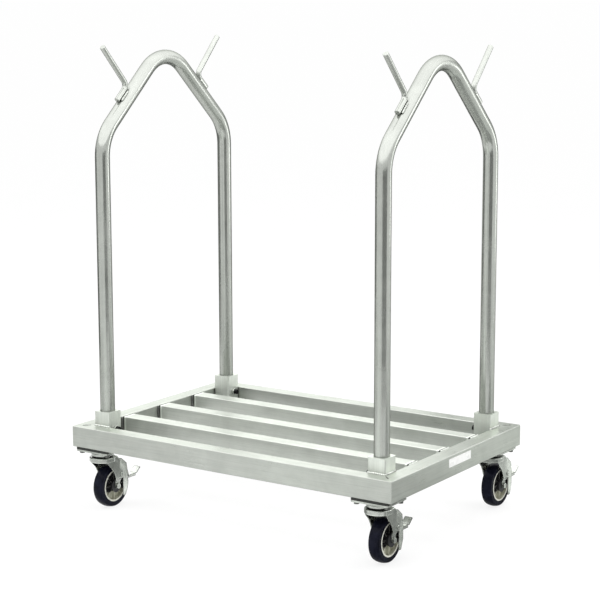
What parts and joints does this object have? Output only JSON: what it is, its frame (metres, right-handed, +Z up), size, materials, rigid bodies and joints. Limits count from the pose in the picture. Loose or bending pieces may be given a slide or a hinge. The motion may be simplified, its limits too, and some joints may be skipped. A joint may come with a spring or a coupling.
{
  "type": "mat cart",
  "caption": "Low rolling cart with a welded tube deck, a bent tube upright with mat pegs at each end and braked swivel casters.",
  "frame": {"origin": "on the floor under the middle of the cart's overall box, midway between its ends and between the front rail's face and the tips of the rear brake levers; the deck's middle is 50 mm forward of it", "axes": "+X to the right along the deck, +Y to the rear, +Z up; the front rail is at -Y"},
  "size_m": [1.0672, 0.8302, 1.3464],
  "materials": {
    "frame_aluminium": "satin mill finish with fine draw lines",
    "pipe_aluminium": "satin drawn pipe",
    "weld_aluminium": "as welded",
    "zinc_steel": "bright zinc plate",
    "tyre_rubber": "smooth dark tread",
    "core_plastic": "moulded light grey",
    "bearing_plastic": "moulded dark grey",
    "label_film": "blank white film"
  },
  "bodies": {
    "cart": {"front_rail": "frame_aluminium", "rear_rail": "frame_aluminium", "left_end_rail": "frame_aluminium", "right_end_rail": "frame_aluminium", "front_deck_rail": "frame_aluminium", "middle_deck_rail": "frame_aluminium", "rear_deck_rail": "frame_aluminium", "frame_weld_beads": "weld_aluminium", "left_upright": "pipe_aluminium", "left_mat_pegs": "pipe_aluminium", "right_upright": "pipe_aluminium", "right_mat_pegs": "pipe_aluminium", "front_left_socket": "frame_aluminium", "front_right_socket": "frame_aluminium", "rear_left_socket": "frame_aluminium", "rear_right_socket": "frame_aluminium", "upright_clamp_bolts": "zinc_steel", "peg_weld_beads": "weld_aluminium", "blank_label": "label_film", "caster_pads": "frame_aluminium", "kingpins": "zinc_steel", "caster_bolts": "zinc_steel", "caster_washers": "zinc_steel", "front_left_caster_plate": "zinc_steel", "front_right_caster_plate": "zinc_steel", "rear_left_caster_plate": "zinc_steel", "rear_right_caster_plate": "zinc_steel"},
    "front_left_swivel": {"front_left_fork": "zinc_steel", "front_left_swivel_balls": "zinc_steel", "front_left_axle_set": "zinc_steel", "front_left_brake_rivets": "zinc_steel"},
    "front_left_wheel": {"front_left_tyre": "tyre_rubber", "front_left_wheel_core": "core_plastic", "front_left_hub_bearing": "bearing_plastic"},
    "front_left_brake": {"front_left_brake_lever": "zinc_steel"},
    "front_right_swivel": {"front_right_fork": "zinc_steel", "front_right_swivel_balls": "zinc_steel", "front_right_axle_set": "zinc_steel", "front_right_brake_rivets": "zinc_steel"},
    "front_right_wheel": {"front_right_tyre": "tyre_rubber", "front_right_wheel_core": "core_plastic", "front_right_hub_bearing": "bearing_plastic"},
    "front_right_brake": {"front_right_brake_lever": "zinc_steel"},
    "rear_left_swivel": {"rear_left_fork": "zinc_steel", "rear_left_swivel_balls": "zinc_steel", "rear_left_axle_set": "zinc_steel", "rear_left_brake_rivets": "zinc_steel"},
    "rear_left_wheel": {"rear_left_tyre": "tyre_rubber", "rear_left_wheel_core": "core_plastic", "rear_left_hub_bearing": "bearing_plastic"},
    "rear_left_brake": {"rear_left_brake_lever": "zinc_steel"},
    "rear_right_swivel": {"rear_right_fork": "zinc_steel", "rear_right_swivel_balls": "zinc_steel", "rear_right_axle_set": "zinc_steel", "rear_right_brake_rivets": "zinc_steel"},
    "rear_right_wheel": {"rear_right_tyre": "tyre_rubber", "rear_right_wheel_core": "core_plastic", "rear_right_hub_bearing": "bearing_plastic"},
    "rear_right_brake": {"rear_right_brake_lever": "zinc_steel"}
  },
  "joints": [
    {"name": "front_left_swivel_turn", "type": "hinge", "parent": "cart", "child": "front_left_swivel", "pos_m": [-0.46505, -0.3602, 0.157], "axis": [0, 0, 1], "continuous": true},
    {"name": "front_left_wheel_spin", "type": "hinge", "parent": "front_left_swivel", "child": "front_left_wheel", "pos_m": [-0.46505, -0.3252, 0.0635], "axis": [1, 0, 0], "continuous": true},
    {"name": "front_left_brake_press", "type": "hinge", "parent": "front_left_swivel", "child": "front_left_brake", "pos_m": [-0.46505, -0.3172, 0.099], "axis": [-1, 0, 0], "range_deg": [0, 7.6]},
    {"name": "front_right_swivel_turn", "type": "hinge", "parent": "cart", "child": "front_right_swivel", "pos_m": [0.46505, -0.3602, 0.157], "axis": [0, 0, 1], "continuous": true},
    {"name": "front_right_wheel_spin", "type": "hinge", "parent": "front_right_swivel", "child": "front_right_wheel", "pos_m": [0.46505, -0.3252, 0.0635], "axis": [1, 0, 0], "continuous": true},
    {"name": "front_right_brake_press", "type": "hinge", "parent": "front_right_swivel", "child": "front_right_brake", "pos_m": [0.46505, -0.3172, 0.099], "axis": [-1, 0, 0], "range_deg": [0, 7.6]},
    {"name": "rear_left_swivel_turn", "type": "hinge", "parent": "cart", "child": "rear_left_swivel", "pos_m": [-0.46505, 0.2602, 0.157], "axis": [0, 0, 1], "continuous": true},
    {"name": "rear_left_wheel_spin", "type": "hinge", "parent": "rear_left_swivel", "child": "rear_left_wheel", "pos_m": [-0.46505, 0.2952, 0.0635], "axis": [1, 0, 0], "continuous": true},
    {"name": "rear_left_brake_press", "type": "hinge", "parent": "rear_left_swivel", "child": "rear_left_brake", "pos_m": [-0.46505, 0.3032, 0.099], "axis": [-1, 0, 0], "range_deg": [0, 7.6]},
    {"name": "rear_right_swivel_turn", "type": "hinge", "parent": "cart", "child": "rear_right_swivel", "pos_m": [0.46505, 0.2602, 0.157], "axis": [0, 0, 1], "continuous": true},
    {"name": "rear_right_wheel_spin", "type": "hinge", "parent": "rear_right_swivel", "child": "rear_right_wheel", "pos_m": [0.46505, 0.2952, 0.0635], "axis": [1, 0, 0], "continuous": true},
    {"name": "rear_right_brake_press", "type": "hinge", "parent": "rear_right_swivel", "child": "rear_right_brake", "pos_m": [0.46505, 0.3032, 0.099], "axis": [-1, 0, 0], "range_deg": [0, 7.6]}
  ]
}
